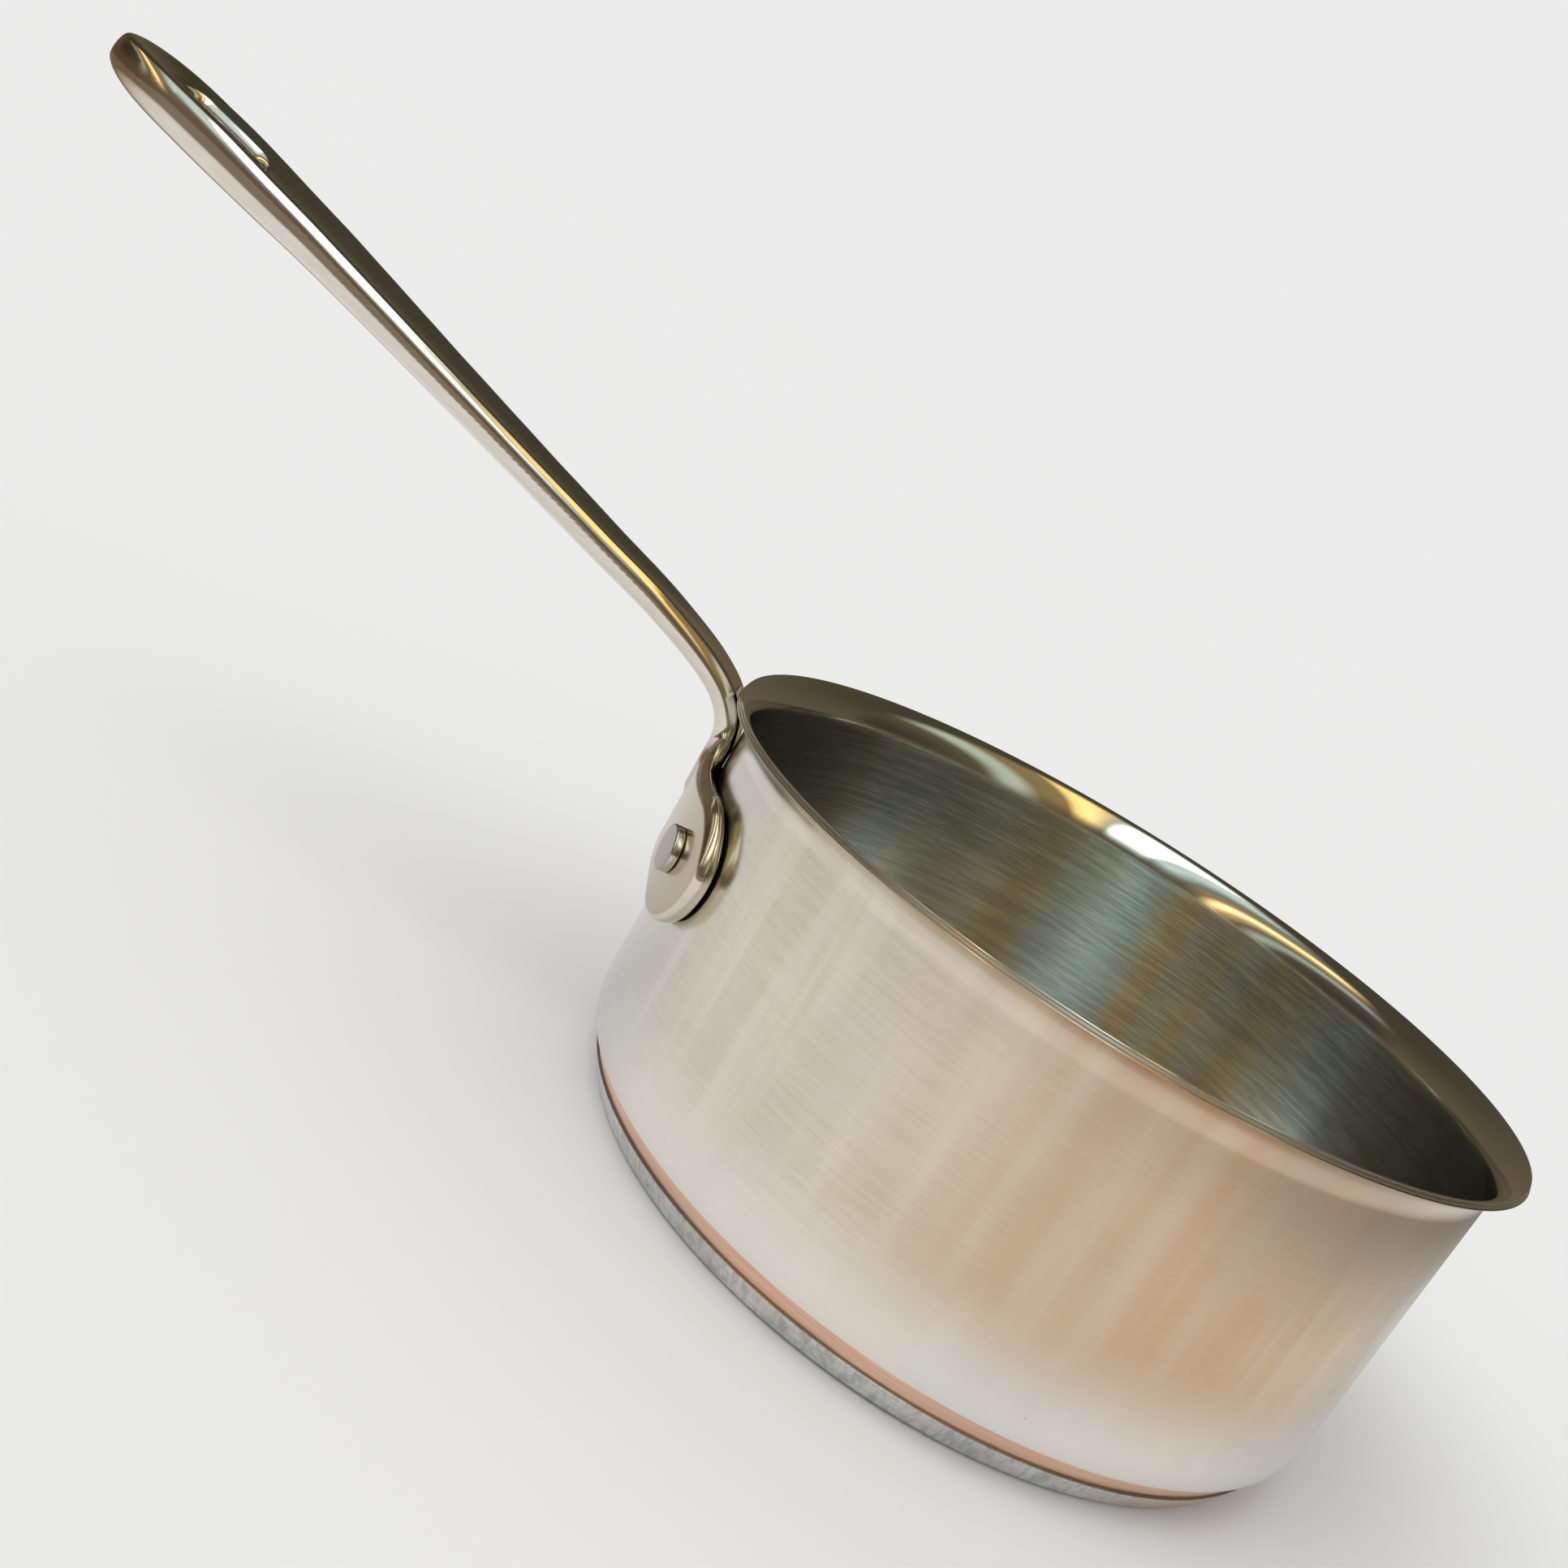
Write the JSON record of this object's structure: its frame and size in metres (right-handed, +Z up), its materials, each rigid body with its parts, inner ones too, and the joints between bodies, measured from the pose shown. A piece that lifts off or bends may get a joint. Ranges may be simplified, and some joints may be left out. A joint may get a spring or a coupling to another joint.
{
  "type": "saucepan",
  "caption": "Straight-sided clad saucepan with a flared pouring lip, a copper core bared in a groove near the base, and a riveted cast stick handle with a hanging slot.",
  "frame": {"origin": "centre of the flat underside of the pan", "axes": "+Z up out of the mouth; the handle points along -X; the pan is the same on both sides of the XZ plane"},
  "size_m": [0.4213, 0.2178, 0.1568],
  "materials": {
    "steel_outside": "fine brushing round the pan, half bright",
    "steel_base": "coarser brushing, duller",
    "steel_inside": "satin inside, polished at the lip",
    "aluminium": "bare rolled sheet",
    "copper": "satin copper",
    "polished_steel": "mirror polished casting"
  },
  "bodies": {
    "root": {"copper_core": "copper", "handle": "polished_steel", "inner_aluminium_ply": "aluminium", "inner_steel_lining": "steel_inside", "outer_aluminium_base": "aluminium", "outer_aluminium_wall": "aluminium", "outer_steel_base": "steel_base", "outer_steel_wall": "steel_outside", "rivet_far": "polished_steel", "rivet_near": "polished_steel"}
  },
  "joints": []
}
